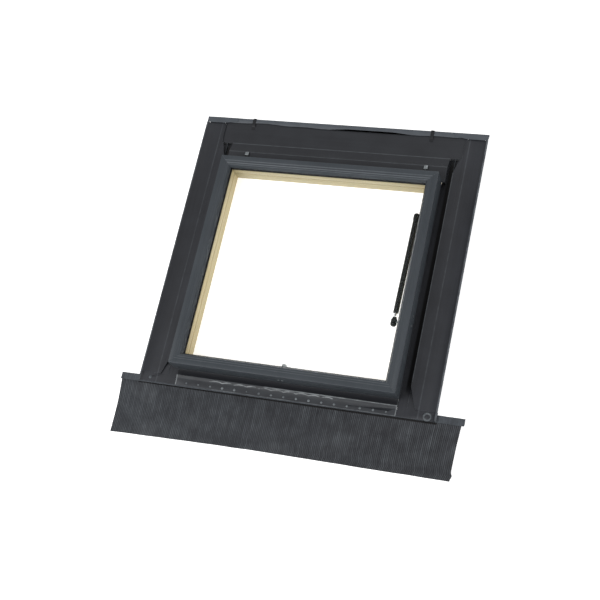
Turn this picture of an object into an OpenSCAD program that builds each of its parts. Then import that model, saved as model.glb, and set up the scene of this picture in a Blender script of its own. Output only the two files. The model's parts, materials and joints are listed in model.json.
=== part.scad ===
// Top-hung roof access skylight: a pine frame, its folded sheet flashing and pleated
// apron, and a glazed sash on two hinges, held open by one gas strut.
// Units mm. +X across the roof, +Y up the roof slope, +Z away from the roof.
// Origin: middle of the footprint, at the frame's underside.

/* [Overall] */
// Width of the sash over its outer faces
sash_w = 780; // [600:10:1100]
// Length of the sash, up the slope, over its outer faces
sash_l = 770; // [600:10:1200]
// Height from the frame's underside to the sash's top face
total_h = 95; // [90:1:130]

/* [Frame] */
// Height of the fixed pine frame
frame_h = 38; // [36:1:60]
// Clear opening's distance in from the sash's outer face
opening_inset = 40; // [36:1:60]
// Distance from the sash's outer face to the frame's outer face
frame_inset_x = 6; // [5:0.5:10]
// The same distance at the top and bottom rails
frame_inset_y = 5; // [4.5:0.5:10]
// Height of the rubber seal on the frame's top
seal_h = 1.7; // [1:0.1:4]
// Radius of the frame's corner screws
corner_screw_r = 2.5; // [2:0.25:4]

/* [Sash] */
// Width of the sash's top face
cap_face_w = 32; // [24:1:40]
// Wall of the aluminium sash profile
cap_wall = 2; // [1.5:0.1:3]
// Height of each shallow step in the sash's top face
cap_step = 1.2; // [0.4:0.1:1.5]
// Depth of the sash's outer skirt
skirt_h = 62; // [50:1:66]
// Height of the pine inner sash frame
sash_wood_h = 22; // [18:1:26]
// Gap between the fixed frame's top and the inner sash frame
sash_gap = 2; // [1.9:0.1:4]
// Thickness of each glass pane
pane_t = 4; // [3:0.5:6]
// Gap between the two panes
pane_gap = 8; // [6:1:12]

/* [Flashing] */
// Sheet thickness of the flashing
sheet_t = 1.2; // [0.8:0.1:1.6]
// Distance of the flashing's side edges out from the sash
side_reach = 128; // [110:1:180]
// Distance of the flashing's top edge beyond the sash
top_reach = 190; // [170:1:240]
// Distance of the flashing's bottom edge beyond the sash
bottom_reach = 52; // [48:1:70]
// Height of the flashing's flat sheet
flat_z = 11; // [10:0.5:16]
// Height of the gutter floor beside the frame
gutter_z = 3; // [2:0.5:6]
// Distance from the sash's outer face to the gutter's outer fold
gutter_w = 28; // [24:1:34]
// Spacing of the pressed clinch points along the bottom strip
clinch_pitch = 43.5; // [30:0.5:60]

/* [Apron] */
// Length of the pleated apron down the roof
apron_l = 201; // [140:1:240]
// Spacing of the apron's pleats
pleat_pitch = 5.9; // [5:0.1:12]
// Height of a pleat from valley to crest
pleat_h = 2.4; // [1.5:0.1:3]
// Sheet thickness of the apron
apron_t = 0.8; // [0.6:0.1:1]

/* [Hinges] */
// Distance of each hinge from the middle
hinge_x = 326; // [200:1:326]
// Height of the hinge axis
hinge_z = 36; // [36:0.5:40]
// Distance of the hinge axis out from the sash's top face
hinge_out = 11; // [10:0.5:14]
// Radius of the hinge pin
hinge_pin_r = 2.5; // [2:0.1:3]

/* [Gas strut] */
// Distance of the strut's axis in from the opening's side
strut_in = 22; // [16:0.5:24]
// Radius of the strut's tube
strut_r = 9; // [8:0.5:10]
// Radius of the strut's rod
rod_r = 4; // [3:0.25:5]
// Radius of the ball studs
ball_r = 6.5; // [6:0.25:7]

/* [Handle] */
// Sideways place of the handle on the bottom rail
handle_x = -3; // [-60:1:60]
// Length of the handle's lever below its pivot
lever_l = 44; // [36:1:46]

/* [Fits] */
// Radial clearance of running fits
run_fit = 0.05; // [0.02:0.01:0.1]

/* [Hidden] */
$fn = 48;
half_w = sash_w / 2;
half_l = sash_l / 2;
open_w = half_w - opening_inset;
open_l = half_l - opening_inset;
frame_w = half_w - frame_inset_x;
frame_l = half_l - frame_inset_y;
rail_d = frame_l - open_l;
skirt_z = total_h - skirt_h;
sash_z = frame_h + sash_gap;
wood_top = sash_z + sash_wood_h;
tape_t = 1;
inner_pane_z = wood_top + tape_t;
spacer_z = inner_pane_z + pane_t;
outer_pane_z = spacer_z + pane_gap;
glass_top = outer_pane_z + pane_t;
gasket_t = 1.5;
bevel_z = glass_top + gasket_t;
pane_edge = 18;
pane_w = half_w - pane_edge;
pane_l = half_l - pane_edge;
bolt_z = sash_z + 15;
upstand_z = frame_h - 2;
ht = sheet_t / 2;
side_x = half_w + side_reach;
top_y = half_l + top_reach;
bottom_y = -(half_l + bottom_reach);
crest_x = half_w + gutter_w;
bend_x = half_w + 65;
lip_in = side_x - 13;
ledge_z = 25;
ledge_y = half_l + 52;
ramp_y = half_l + 90;
hump_w = half_w + 8;
strip_z = flat_z - 1.5;
hem_top = strip_z - ht;
hem_t = 1.2;
hem_d = 24;
hem_left = side_x + 68;
hem_right = side_x + 88;
apron_left = side_x + 64;
apron_right = side_x + 77;
apron_y0 = bottom_y + 8;
apron_y1 = bottom_y + 3 - apron_l + 8;
fold_y = top_y - 3;
lip_z = flat_z + 3.5;
clip_top = lip_z + ht + 0.6;
clip_end = fold_y + 5.09;
hinge_y = half_l + hinge_out;
leaf_t = 2.5;
leaf_z = ledge_z + sheet_t;
square_y = half_l + 43;
strut_x = open_w - strut_in;
plate_t = 3;
pivot_a = [half_l - 145, frame_h - 10];
pivot_b = [-(half_l - 248), sash_z + 6];
strut_len = norm(pivot_b - pivot_a);
strut_ang = atan2(pivot_b.y - pivot_a.y, pivot_a.x - pivot_b.x);
tube_start = 14;
tube_end = strut_len - 32;
tube_wall = 1.4;
socket_r = 11;
stroke = 152;
rivet_ys = [pivot_b.x + 23, pivot_b.x - 10];
rivet_r = 2.5;
handle_y = -open_l;
handle_z = sash_z + 10;
handle_bolts = [-7, 7];
origin_x = -(hem_right - hem_left) / 2;
origin_y = -(clip_end + apron_y1) / 2;

// Helpers -----------------------------------------------------------------
// Unit vector, segment normal and mitred offset, for bent sheet of even thickness
function unit(v) = v / norm(v);
function seg_n(p, i) = let (d = unit(p[i + 1] - p[i])) [-d.y, d.x];
function mitre(p, a, b, h) = let (m = unit(a + b)) p + m * (h / (m * a));
function off_pt(p, i, h) =
    i == 0 ? p[0] + h * seg_n(p, 0) :
    i == len(p) - 1 ? p[i] + h * seg_n(p, i - 1) :
    mitre(p[i], seg_n(p, i - 1), seg_n(p, i), h);
function ribbon(p, h) = concat(
    [for (i = [0 : len(p) - 1]) off_pt(p, i, h)],
    [for (i = [len(p) - 1 : -1 : 0]) off_pt(p, i, -h)]);

// A box given by its two corners
module box(a, b) {
    translate(a) cube(b - a);
}

// A profile in Y and Z, run from x0 to x1
module run_x(pts, x0, x1) {
    translate([x0, 0, 0]) rotate([90, 0, 90]) linear_extrude(x1 - x0) polygon(pts);
}

// A profile in X and Z, run from y0 to y1
module run_y(pts, y0, y1) {
    translate([0, y1, 0]) rotate([90, 0, 0]) linear_extrude(y1 - y0) polygon(pts);
}

// A round bar along X
module rod_x(x0, x1, y, z, r) {
    translate([x0, y, z]) rotate([0, 90, 0]) cylinder(r = r, h = x1 - x0);
}

// A round bar along Y
module rod_y(y0, y1, x, z, r) {
    translate([x, y1, z]) rotate([90, 0, 0]) cylinder(r = r, h = y1 - y0);
}

// A flat rectangular ring between two half sizes
module ring(outer, inner, z0, z1) {
    difference() {
        box([-outer.x, -outer.y, z0], [outer.x, outer.y, z1]);
        box([-inner.x, -inner.y, z0 - 1], [inner.x, inner.y, z1 + 1]);
    }
}

// Puts a child on the strut's axis: its -Y runs from the frame's ball to the sash's ball
module on_strut() {
    translate([strut_x, pivot_a.x, pivot_a.y]) rotate([-strut_ang, 0, 0]) children();
}

// Pine frame --------------------------------------------------------------
corner_zs = [frame_h * 0.3, frame_h * 0.7];

module corner_screws() {
    for (sx = [-1, 1], sy = [-1, 1], z = corner_zs)
        translate([sx * (frame_w - 60), sy * (open_l + rail_d / 2), z])
            rotate([0, sx * 90, 0]) {
                cylinder(r = corner_screw_r, h = 60);
                translate([0, 0, 58]) cylinder(r = corner_screw_r * 1.8, h = 2);
            }
}

module frame_rail(s) {
    color([0.78, 0.72, 0.56]) difference() {
        box([-open_w, s > 0 ? open_l : -frame_l, 0], [open_w, s > 0 ? frame_l : -open_l, frame_h]);
        corner_screws();
        children();
    }
}

module frame_top_rail() {
    frame_rail(1);
}

module frame_bottom_rail() {
    frame_rail(-1) keeper_screws();
}

module frame_stile() {
    color([0.78, 0.72, 0.56]) difference() {
        box([open_w, -frame_l, 0], [frame_w, frame_l, frame_h]);
        corner_screws();
        upstand_screws();
        children();
    }
}

module frame_left_stile() {
    mirror([1, 0, 0]) frame_stile();
}

module frame_right_stile() {
    frame_stile() bracket_screws();
}

module frame_corner_screws() {
    color([0.7, 0.7, 0.72]) corner_screws();
}

// Batten under the top flashing's ledge, that takes the hinge screws
module hinge_batten() {
    color([0.74, 0.67, 0.5]) difference() {
        box([1 - frame_w, frame_l, 0], [frame_w - 1, ledge_y - 2, ledge_z]);
        square_screws();
    }
}

module frame_seal() {
    color([0.1, 0.1, 0.1]) ring([frame_w - 18, frame_l - 18], [frame_w - 26, frame_l - 26],
        frame_h, frame_h + seal_h);
}

// Flashing ----------------------------------------------------------------
side_path = [[frame_w + ht, upstand_z], [frame_w + ht, gutter_z], [crest_x - 1, gutter_z],
    [crest_x, flat_z + 8], [bend_x, flat_z], [lip_in, flat_z], [lip_in + 6, flat_z + 7],
    [side_x - 1, flat_z + 6]];

module upstand_screws() {
    for (y = [-half_l + 90, 0, half_l - 90])
        rod_x(frame_w - 18, frame_w + sheet_t + 0.9, y, upstand_z - 6, 1.5);
}

module upstand_screw_heads() {
    for (y = [-half_l + 90, 0, half_l - 90])
        rod_x(frame_w + sheet_t, frame_w + sheet_t + 0.9, y, upstand_z - 6, 3.5);
}

// One side sheet: upstand, gutter, raised water fold, flat and turned-up edge
module side_sheet() {
    difference() {
        union() {
            run_y(ribbon(side_path, ht), bottom_y + 30, ramp_y - 0.3);
            box([bend_x - 2, ramp_y - 5, flat_z - ht], [lip_in + 1, fold_y - 6, flat_z + ht]);
            box([bend_x - 8, fold_y - 21.5, flat_z - ht], [bend_x, fold_y - 6, flat_z + ht]);
            // the fold's slanted strip runs on over the top sheet's edge
            run_y(ribbon([[crest_x + 20, flat_z + 8 - 160 / (bend_x - crest_x)],
                [bend_x, flat_z], [lip_in, flat_z], [lip_in + 6, flat_z + 7],
                [side_x - 1, flat_z + 6]], ht), ramp_y - 5, fold_y - 21);
            // the gutter's floor widens under both cut-back ends of the fold
            for (y = [[bottom_y + 30, -half_l + 75], [half_l + 5, ramp_y - 0.3]])
                run_y(ribbon([[crest_x - 4, gutter_z], [bend_x - 4, gutter_z],
                    [bend_x + 1, flat_z - 0.4]], ht), y[0], y[1]);
            box([half_w - 5, bottom_y, strip_z - ht], [side_x - 1, bottom_y + 31, strip_z + ht]);
            // the gutter's lower end rises to the bottom sheet
            run_x(ribbon([[bottom_y + 30, strip_z], [-half_l + 12, strip_z],
                [-half_l + 42, gutter_z]], ht), frame_w, bend_x - 1);
            run_y(ribbon([[lip_in, strip_z], [lip_in + 6, flat_z + 7], [side_x - 1, flat_z + 6]],
                ht), bottom_y, bottom_y + 31);
        }
        // the gutter's fold is cut back in a slant towards both ends
        translate([0, 0, flat_z + ht]) linear_extrude(40)
            polygon([[crest_x - 8, half_l + 10], [crest_x + 22, half_l + 110],
                [crest_x + 21.5, top_y], [crest_x - 8, top_y]]);
        translate([0, 0, flat_z + ht]) linear_extrude(40)
            polygon([[crest_x - 8, -half_l + 70], [crest_x + 32, -half_l - 40],
                [crest_x - 8, -half_l - 40]]);
        // the upstand stops short of the sheets above and below the frame
        box([frame_w - 1, frame_l, gutter_z + ht], [frame_w + 3, top_y, total_h]);
        box([frame_w - 1, -half_l - 60, flat_z], [frame_w + 3, -frame_l, total_h]);
        upstand_screws();
    }
}

module flashing_left() {
    color([0.24, 0.245, 0.26]) mirror([1, 0, 0]) {
        side_sheet();
        translate([side_x - 38, bottom_y + 14, strip_z + ht]) cylinder(r = 3.5, h = 1.2);
    }
}

module flashing_right() {
    color([0.24, 0.245, 0.26]) {
        side_sheet();
        translate([side_x - 31, bottom_y + 10, strip_z + ht]) cylinder(r1 = 14, r2 = 9, h = 3);
    }
}

module flashing_top() {
    hump = [[frame_l + ht, upstand_z], [frame_l + ht, ledge_z + ht], [ledge_y, ledge_z + ht],
        [ramp_y, flat_z], [ramp_y + 30, flat_z]];
    lip = [[ramp_y + 5, flat_z], [fold_y, flat_z], [fold_y + 1.5, lip_z], [fold_y - 19, lip_z]];
    color([0.24, 0.245, 0.26]) difference() {
        union() {
            run_x(ribbon(hump, ht), -hump_w, hump_w);
            // the hump's two closed ends
            for (s = [-1, 1])
                translate([s * (hump_w - ht), 0, 0]) run_x([[half_l - 3, gutter_z + sheet_t],
                    [half_l - 3, ledge_z + ht], [ledge_y, ledge_z + ht], [ramp_y, flat_z],
                    [ramp_y, gutter_z + sheet_t]], -ht, ht);
            box([-bend_x + 9, ramp_y, flat_z - ht], [bend_x - 9, fold_y - 20, flat_z + ht]);
            // walls that close the upper ends of the side gutters
            for (s = [0, 1]) mirror([s, 0, 0])
                box([hump_w - sheet_t, ramp_y, gutter_z - ht],
                    [bend_x - 9, ramp_y + sheet_t, flat_z]);
            difference() {
                run_x(ribbon(lip, ht), -side_x + 1, side_x - 1);
                box([bend_x - 9, 0, 0], [side_x + 1, fold_y - 5.9, flat_z + 1]);
                box([-side_x - 1, 0, 0], [-bend_x + 9, fold_y - 5.9, flat_z + 1]);
            }
        }
        // the folded lip's free edge is cut in shallow waves
        translate([0, 0, flat_z + 1]) linear_extrude(20) polygon(concat(
            [[-side_x - 1, fold_y - 40]],
            [for (x = [-side_x - 1 : 20 : side_x + 19]) [x, fold_y - 16
                + 2.2 * sin(x * 0.9) + 1.6 * sin(x * 2.3 + 40)]],
            [[side_x + 19, fold_y - 40]]));
        // the upstand stops inside the sash's skirts
        for (s = [0, 1]) mirror([s, 0, 0])
            box([frame_w, frame_l - 1, ledge_z + sheet_t], [side_x, half_l, total_h]);
        square_screws();
    }
}

module flashing_bottom() {
    path = [[-frame_l - ht, upstand_z], [-frame_l - ht, flat_z + 2.5], [-half_l - 16, flat_z + 1],
        [-half_l - 18, flat_z + 3], [-half_l - 27, strip_z], [bottom_y, strip_z]];
    color([0.25, 0.255, 0.27]) difference() {
        union() {
            run_x(ribbon(path, ht), -half_w + 5.5, half_w - 5.5);
            // pressed clinch points
            for (i = [-8 : 8])
                if (abs(i * clinch_pitch) < half_w - 20)
                    translate([i * clinch_pitch + 4, bottom_y + 10, strip_z])
                        cylinder(r = 3.2, h = ht + 0.8);
        }
        box([-half_w, -half_l - 5, upstand_z - 3], [-half_w + 12, -frame_l + 5, total_h]);
        box([half_w - 12, -half_l - 5, upstand_z - 3], [half_w, -frame_l + 5, total_h]);
    }
}

module flashing_screws() {
    color([0.7, 0.7, 0.72]) for (s = [0, 1]) mirror([s, 0, 0]) {
        upstand_screws();
        upstand_screw_heads();
    }
}

// Straps that hold the folded lip to the roof battens
module flashing_clips() {
    path = [[fold_y - 38, flat_z + ht + 0.5], [fold_y - 28, flat_z + ht + 0.5],
        [fold_y - 25, clip_top - 0.1], [fold_y + 4, clip_top - 0.1], [fold_y + 4.6, flat_z + 1]];
    color([0.16, 0.165, 0.17]) for (x = [-335, 321])
        run_x(ribbon(path, 0.5), x * sash_w / 780 - 6, x * sash_w / 780 + 6);
}

// Apron -------------------------------------------------------------------
module apron() {
    n = floor((apron_left + apron_right) / pleat_pitch);
    z0 = hem_top - hem_t - pleat_h / 2 - 0.15;
    z1 = pleat_h / 2 + 0.3;
    len_y = apron_y0 - apron_y1;
    path = [for (i = [0 : 2 * n]) [-apron_left + 1 + i * pleat_pitch / 2,
        (i % 2 == 0 ? -1 : 1) * (pleat_h - apron_t) / 2]];
    color([0.27, 0.28, 0.3]) intersection() {
        translate([0, apron_y0, z0]) rotate([atan2(z0 - z1, len_y), 0, 0])
            run_y(ribbon(path, apron_t / 2), -len_y - 10, 0);
        linear_extrude(60) polygon([[-apron_left, apron_y0], [-apron_left + 4, apron_y0 - 70],
            [-apron_left + 6, apron_y1], [-40, apron_y1 + 12], [apron_right - 9, apron_y1 + 10],
            [apron_right - 4, apron_y1 + 60], [apron_right - 2, apron_y1 + 110],
            [apron_right, apron_y0]]);
    }
}

module apron_hem() {
    color([0.3, 0.31, 0.33])
        box([-hem_left, bottom_y - 4, hem_top - hem_t], [hem_right, bottom_y + hem_d - 4, hem_top]);
}

// Hinges ------------------------------------------------------------------
module square_screws() {
    for (s = [-1, 1])
        translate([s * hinge_x, square_y, 6]) cylinder(r = 3, h = leaf_z + leaf_t - 6);
}

module hinge_frame_leaf(s) {
    color([0.3, 0.3, 0.31]) difference() {
        union() {
            box([s * hinge_x - 7.7, hinge_y - 4, leaf_z],
                [s * hinge_x + 7.7, ledge_y - 1, leaf_z + leaf_t]);
            box([s * hinge_x - 7.7, hinge_y - 4, leaf_z], [s * hinge_x + 7.7, hinge_y + 4, hinge_z]);
            rod_x(s * hinge_x - 7.7, s * hinge_x + 7.7, hinge_y, hinge_z, 5.5);
        }
        rod_x(s * hinge_x - 9, s * hinge_x + 9, hinge_y, hinge_z, hinge_pin_r);
        square_screws();
    }
}

module hinge_frame_leaf_left() {
    hinge_frame_leaf(-1);
}

module hinge_frame_leaf_right() {
    hinge_frame_leaf(1);
}

module hinge_pins() {
    color([0.7, 0.7, 0.72]) for (s = [-1, 1])
        rod_x(s * hinge_x - 23, s * hinge_x + 23, hinge_y, hinge_z, hinge_pin_r);
}

module hinge_square_screws() {
    color([0.75, 0.76, 0.78]) {
        square_screws();
        for (s = [-1, 1])
            box([s * hinge_x - 6.5, square_y - 6.5, leaf_z + leaf_t],
                [s * hinge_x + 6.5, square_y + 6.5, leaf_z + leaf_t + 4]);
    }
}

module sash_leaf_screws() {
    for (s = [-1, 1], dx = [-14, 14])
        rod_y(half_l - 16, half_l + leaf_t, s * hinge_x + dx, bolt_z, 2);
}

module hinge_sash_leaf(s) {
    color([0.3, 0.3, 0.31]) difference() {
        union() {
            box([s * hinge_x - 22, half_l, hinge_z - 2.5],
                [s * hinge_x + 22, half_l + leaf_t, bolt_z + 7]);
            for (dx = [-22, 8]) {
                box([s * hinge_x + dx, half_l, hinge_z - 2.5],
                    [s * hinge_x + dx + 14, hinge_y, hinge_z + 2.5]);
                rod_x(s * hinge_x + dx, s * hinge_x + dx + 14, hinge_y, hinge_z, 5.5);
            }
        }
        rod_x(s * hinge_x - 25, s * hinge_x + 25, hinge_y, hinge_z, hinge_pin_r + run_fit);
        sash_leaf_screws();
    }
}

module hinge_sash_leaf_left() {
    hinge_sash_leaf(-1);
}

module hinge_sash_leaf_right() {
    hinge_sash_leaf(1);
}

module hinge_sash_screws() {
    color([0.7, 0.7, 0.72]) {
        sash_leaf_screws();
        for (s = [-1, 1], dx = [-14, 14])
            rod_y(half_l + leaf_t, half_l + leaf_t + 1.5, s * hinge_x + dx, bolt_z, 4);
    }
}

// Sash --------------------------------------------------------------------
cap_pts = [[0, skirt_z], [0, total_h], [cap_face_w - 15, total_h],
    [cap_face_w - 14, total_h - cap_step], [cap_face_w - 7, total_h - cap_step],
    [cap_face_w - 6, total_h - 2 * cap_step], [cap_face_w, total_h - 2 * cap_step - 0.2],
    [opening_inset, bevel_z], [opening_inset - cap_wall * 1.1, bevel_z],
    [cap_face_w - cap_wall * 0.7, total_h - cap_wall - 2 * cap_step - 0.2],
    [cap_wall, total_h - cap_wall], [cap_wall, skirt_z]];

module cap_bar(out, other) {
    intersection() {
        run_y([for (p = cap_pts) [out - p.x, p.y]], -other - 1, other + 1);
        translate([0, 0, skirt_z - 1]) linear_extrude(total_h) polygon([[out + 1, other + 1],
            [out - 60, other - 60], [out - 60, 60 - other], [out + 1, -other - 1]]);
    }
}

module sash_top_profile() {
    color([0.28, 0.295, 0.31]) difference() {
        rotate([0, 0, 90]) cap_bar(half_l, half_w);
        sash_leaf_screws();
    }
}

module sash_bottom_profile() {
    color([0.28, 0.295, 0.31]) difference() {
        rotate([0, 0, -90]) cap_bar(half_l, half_w);
        handle_shanks();
    }
}

module sash_left_profile() {
    color([0.28, 0.295, 0.31]) mirror([1, 0, 0]) cap_bar(half_w, half_l);
}

module sash_right_profile() {
    color([0.28, 0.295, 0.31]) difference() {
        cap_bar(half_w, half_l);
        rivet_shanks();
    }
}

// Angle pieces that hold the mitred corners together
module sash_corner_keys() {
    w = half_w - cap_wall;
    l = half_l - cap_wall;
    color([0.6, 0.61, 0.63]) for (sx = [0, 1], sy = [0, 1])
        mirror([sx, 0, 0]) mirror([0, sy, 0]) translate([0, 0, wood_top])
            linear_extrude(total_h - cap_wall - 0.5 - wood_top)
                polygon([[w, l], [w - 50, l], [w - 50, l - 4], [w - 4, l - 4], [w - 4, l - 50],
                    [w, l - 50]]);
}

module sash_wood_rail(s) {
    y0 = s > 0 ? open_l : -half_l + cap_wall;
    y1 = s > 0 ? half_l - cap_wall : -open_l;
    color([0.78, 0.72, 0.56]) difference() {
        box([-open_w, y0, sash_z], [open_w, y1, wood_top]);
        children();
    }
}

module sash_wood_top() {
    sash_wood_rail(1) sash_leaf_screws();
}

module sash_wood_bottom() {
    sash_wood_rail(-1) handle_shanks();
}

module sash_wood_stile() {
    color([0.78, 0.72, 0.56]) difference() {
        box([open_w, -half_l + cap_wall, sash_z], [half_w - cap_wall, half_l - cap_wall, wood_top]);
        children();
    }
}

module sash_wood_left() {
    mirror([1, 0, 0]) sash_wood_stile() mirror([1, 0, 0]) sash_leaf_screws();
}

module sash_wood_right() {
    sash_wood_stile() {
        rivet_shanks();
        sash_leaf_screws();
    }
}

module outer_pane() {
    color([0.85, 0.92, 0.9, 0.3]) box([-pane_w, -pane_l, outer_pane_z], [pane_w, pane_l, glass_top]);
}

module inner_pane() {
    color([0.85, 0.92, 0.9, 0.3]) box([-pane_w, -pane_l, inner_pane_z], [pane_w, pane_l, spacer_z]);
}

module pane_spacer() {
    color([0.6, 0.61, 0.62]) ring([pane_w - 4, pane_l - 4], [pane_w - 10, pane_l - 10],
        spacer_z, outer_pane_z);
}

module glazing_gasket() {
    color([0.1, 0.1, 0.1]) ring([open_w + 4, open_l + 4], [open_w - 0.5, open_l - 0.5],
        glass_top, bevel_z);
}

module glazing_tape() {
    color([0.12, 0.12, 0.12]) ring([pane_w - 2, pane_l - 2], [open_w + 2, open_l + 2],
        wood_top, inner_pane_z);
}

// Gas strut ---------------------------------------------------------------
module bracket_screws() {
    for (dy = [-12, 12])
        rod_x(open_w - plate_t, open_w + 20, pivot_a.x + dy, pivot_a.y - 9, 2);
}

module strut_frame_bracket() {
    color([0.55, 0.56, 0.58]) difference() {
        box([open_w - plate_t, pivot_a.x - 18, pivot_a.y - 14],
            [open_w, pivot_a.x + 18, pivot_a.y + 9]);
        bracket_screws();
    }
}

module strut_bracket_screws() {
    color([0.7, 0.7, 0.72]) {
        bracket_screws();
        for (dy = [-12, 12])
            rod_x(open_w - plate_t - 1.5, open_w - plate_t, pivot_a.x + dy, pivot_a.y - 9, 3.6);
    }
}

module ball_stud(end_x) {
    rotate([0, 0, 90]) sphere(r = ball_r);
    rod_x(0, end_x, 0, 0, 3.5);
    rod_x(end_x - 2, end_x, 0, 0, 5.5);
}

module strut_upper_ball() {
    color([0.7, 0.7, 0.72]) on_strut() ball_stud(strut_in - plate_t);
}

module strut_lower_ball() {
    color([0.7, 0.7, 0.72]) on_strut() translate([0, -strut_len, 0])
        ball_stud(strut_in - plate_t - 0.3);
}

module ball_socket(r, neck) {
    difference() {
        union() {
            rod_x(-9, 9, 0, 0, r);
            rod_y(-neck, 0, 0, 0, 7.5);
        }
        rotate([0, 0, 90]) sphere(r = ball_r + run_fit);
        rod_x(0, 12, 0, 0, 4.8);
    }
}

module strut_upper_socket() {
    color([0.08, 0.08, 0.08]) on_strut() ball_socket(socket_r, tube_start);
}

module strut_tube() {
    color([0.08, 0.08, 0.09]) on_strut() difference() {
        rod_y(-tube_end, -tube_start, 0, 0, strut_r);
        rod_y(-tube_end - 1, -tube_start - 6, 0, 0, strut_r - tube_wall);
    }
}

module strut_guide() {
    color([0.2, 0.2, 0.2]) on_strut() difference() {
        rod_y(-tube_end, -tube_end + 14, 0, 0, strut_r - tube_wall);
        rod_y(-tube_end - 1, -tube_end + 15, 0, 0, rod_r + run_fit);
    }
}

module strut_rod() {
    color([0.72, 0.73, 0.75]) on_strut()
        rod_y(-strut_len + 20, -tube_start - 20, 0, 0, rod_r);
}

module strut_piston() {
    color([0.3, 0.3, 0.3]) on_strut() difference() {
        rod_y(-tube_start - 36, -tube_start - 22, 0, 0, strut_r - tube_wall - run_fit);
        rod_y(-tube_start - 40, -tube_start - 20, 0, 0, rod_r);
    }
}

module strut_lower_socket() {
    color([0.08, 0.08, 0.08]) on_strut() translate([0, -strut_len, 0]) rotate([0, 0, 180])
        mirror([1, 0, 0]) difference() {
            ball_socket(9.5, 20);
        }
}

module rivet_shanks() {
    for (y = rivet_ys) rod_x(open_w - plate_t, half_w, y, bolt_z, rivet_r);
}

module strut_sash_bracket() {
    color([0.55, 0.56, 0.58]) difference() {
        box([open_w - plate_t, rivet_ys[1] - 12, sash_z + 0.5],
            [open_w, rivet_ys[0] + 12, wood_top - 1]);
        rivet_shanks();
    }
}

module strut_bracket_rivets() {
    color([0.75, 0.76, 0.78]) {
        rivet_shanks();
        for (y = rivet_ys) rod_x(half_w, half_w + 1.5, y, bolt_z, 4);
    }
}

// Handle and latch --------------------------------------------------------
module handle_shanks() {
    for (dx = handle_bolts)
        rod_y(-half_l, handle_y + 3, handle_x + dx, bolt_z, 2);
}

module handle_base() {
    color([0.62, 0.63, 0.65]) difference() {
        box([handle_x - 17, handle_y, sash_z + 1], [handle_x + 17, handle_y + 3, wood_top - 0.5]);
        handle_shanks();
        rod_y(handle_y - 1, handle_y + 4, handle_x, handle_z, 3);
    }
}

module handle_bolts() {
    color([0.75, 0.76, 0.78]) {
        handle_shanks();
        for (dx = handle_bolts) rod_y(-half_l - 1.5, -half_l, handle_x + dx, bolt_z, 3.5);
    }
}

// Pin the lever turns on, with its head
module handle_pivot() {
    color([0.7, 0.7, 0.72]) {
        rod_y(handle_y, handle_y + 15.1, handle_x, handle_z, 3);
        rod_y(handle_y + 15.1, handle_y + 17, handle_x, handle_z, 5);
    }
}

module handle_lever() {
    color([0.66, 0.67, 0.69]) difference() {
        union() {
            rod_y(handle_y + 8.5, handle_y + 15, handle_x, handle_z, 8);
            run_x([[handle_y + 10, handle_z], [handle_y + 15, handle_z],
                [handle_y + 15, handle_z - lever_l + 6], [handle_y + 17, handle_z - lever_l],
                [handle_y + 12, handle_z - lever_l]], handle_x - 6, handle_x + 6);
        }
        rod_y(handle_y + 7, handle_y + 18, handle_x, handle_z, 3 + run_fit);
        rod_y(handle_y + 15, handle_y + 18, handle_x, handle_z, 5.5);
    }
}

// The tongue lies along the rail while unlatched, and turns down under the keeper's lip
module latch_tongue() {
    color([0.7, 0.71, 0.73]) difference() {
        union() {
            rod_y(handle_y + 4.3, handle_y + 8.5, handle_x, handle_z, 7);
            box([handle_x, handle_y + 5.5, handle_z - 4.5],
                [handle_x + 27, handle_y + 8.5, handle_z + 4.5]);
        }
        rod_y(handle_y + 1, handle_y + 9, handle_x, handle_z, 3 + run_fit);
    }
}

// The tongue's end, that passes under the keeper's lip
module latch_nose() {
    color([0.7, 0.71, 0.73])
        box([handle_x + 21, handle_y + 2.4, handle_z - 4], [handle_x + 27, handle_y + 5.5, handle_z + 4]);
}

module keeper_screws() {
    for (dx = [-13, 13])
        rod_y(handle_y - 18, handle_y + 2, handle_x + dx, frame_h - 24, 1.75);
}

module latch_keeper() {
    color([0.62, 0.63, 0.65]) difference() {
        box([handle_x - 18, handle_y, frame_h - 30], [handle_x + 18, handle_y + 2, frame_h - 3]);
        keeper_screws();
    }
}

module latch_keeper_lip() {
    color([0.62, 0.63, 0.65])
        box([handle_x - 8, handle_y + 2, frame_h - 7], [handle_x + 5, handle_y + 4.4, frame_h - 3]);
}

module latch_keeper_screws() {
    color([0.7, 0.7, 0.72]) {
        keeper_screws();
        for (dx = [-13, 13])
            rod_y(handle_y + 2, handle_y + 3.5, handle_x + dx, frame_h - 24, 3.4);
    }
}

// Moves everything so that the origin is the middle of the footprint
module placed() {
    translate([origin_x, origin_y, 0]) children();
}

placed() frame_top_rail();
placed() frame_bottom_rail();
placed() frame_left_stile();
placed() frame_right_stile();
placed() frame_corner_screws();
placed() hinge_batten();
placed() frame_seal();
placed() flashing_left();
placed() flashing_right();
placed() flashing_top();
placed() flashing_bottom();
placed() flashing_screws();
placed() flashing_clips();
placed() apron();
placed() apron_hem();
placed() hinge_frame_leaf_left();
placed() hinge_frame_leaf_right();
placed() hinge_pins();
placed() hinge_square_screws();
placed() strut_frame_bracket();
placed() strut_bracket_screws();
placed() strut_upper_ball();
placed() latch_keeper();
placed() latch_keeper_lip();
placed() latch_keeper_screws();
placed() sash_top_profile();
placed() sash_bottom_profile();
placed() sash_left_profile();
placed() sash_right_profile();
placed() sash_corner_keys();
placed() sash_wood_top();
placed() sash_wood_bottom();
placed() sash_wood_left();
placed() sash_wood_right();
placed() outer_pane();
placed() inner_pane();
placed() pane_spacer();
placed() glazing_gasket();
placed() glazing_tape();
placed() hinge_sash_leaf_left();
placed() hinge_sash_leaf_right();
placed() hinge_sash_screws();
placed() strut_sash_bracket();
placed() strut_bracket_rivets();
placed() handle_base();
placed() handle_bolts();
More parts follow.
